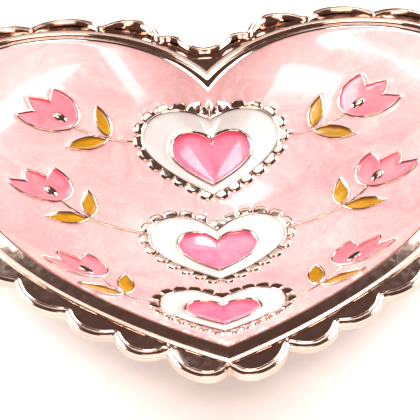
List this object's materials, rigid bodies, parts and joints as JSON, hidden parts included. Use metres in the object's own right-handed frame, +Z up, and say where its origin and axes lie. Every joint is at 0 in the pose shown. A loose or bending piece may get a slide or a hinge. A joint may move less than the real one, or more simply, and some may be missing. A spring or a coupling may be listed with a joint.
{
  "type": "heart-shaped trinket dish",
  "caption": "Shallow heart-shaped metal trinket dish with a scalloped rim and an enamelled bowl of framed hearts and tulip sprigs.",
  "frame": {"origin": "on the table under the middle of the dish's bounding box", "axes": "+Z up, the notch of the heart towards +Y and its tip towards -Y, +X to the right across the dish"},
  "size_m": [0.1306, 0.1115, 0.017],
  "materials": {
    "rose_metal": "polished rose-gold plated casting",
    "ground_enamel": "glossy pearly pale pink enamel",
    "white_enamel": "glossy warm white enamel",
    "heart_enamel": "glossy translucent rose enamel",
    "tulip_enamel": "glossy translucent coral pink enamel",
    "leaf_enamel": "glossy translucent golden olive enamel"
  },
  "bodies": {
    "root": {"dish_shell": "rose_metal", "foot_ring": "rose_metal", "scalloped_flange": "rose_metal", "scallop_bead": "rose_metal", "rim_moulding": "rose_metal", "rim_band": "rose_metal", "ground_enamel": "ground_enamel", "lace_frame_back": "rose_metal", "heart_bezel_back": "rose_metal", "white_enamel_back": "white_enamel", "heart_enamel_back": "heart_enamel", "lace_frame_middle": "rose_metal", "heart_bezel_middle": "rose_metal", "white_enamel_middle": "white_enamel", "heart_enamel_middle": "heart_enamel", "lace_frame_front": "rose_metal", "heart_bezel_front": "rose_metal", "white_enamel_front": "white_enamel", "heart_enamel_front": "heart_enamel", "tulip_line_left_back": "rose_metal", "tulip_line_left_middle": "rose_metal", "tulip_line_left_front": "rose_metal", "tulip_line_right_back": "rose_metal", "tulip_line_right_middle": "rose_metal", "tulip_line_right_front": "rose_metal", "leaf_line_left_back": "rose_metal", "leaf_line_left_middle": "rose_metal", "leaf_line_left_front": "rose_metal", "leaf_line_right_back": "rose_metal", "leaf_line_right_middle": "rose_metal", "leaf_line_right_front": "rose_metal", "stem_left_back": "rose_metal", "stem_left_middle": "rose_metal", "stem_left_front": "rose_metal", "stem_right_back": "rose_metal", "stem_right_middle": "rose_metal", "stem_right_front": "rose_metal", "tulip_enamel_left_back": "tulip_enamel", "tulip_enamel_left_middle": "tulip_enamel", "tulip_enamel_left_front": "tulip_enamel", "tulip_enamel_right_back": "tulip_enamel", "tulip_enamel_right_middle": "tulip_enamel", "tulip_enamel_right_front": "tulip_enamel", "leaf_enamel_left_back": "leaf_enamel", "leaf_enamel_left_middle": "leaf_enamel", "leaf_enamel_left_front": "leaf_enamel", "leaf_enamel_right_back": "leaf_enamel", "leaf_enamel_right_middle": "leaf_enamel", "leaf_enamel_right_front": "leaf_enamel", "tulip_stud_left_back": "rose_metal", "tulip_stud_left_middle": "rose_metal", "tulip_stud_left_front": "rose_metal", "tulip_stud_right_back": "rose_metal", "tulip_stud_right_middle": "rose_metal", "tulip_stud_right_front": "rose_metal"}
  },
  "joints": []
}
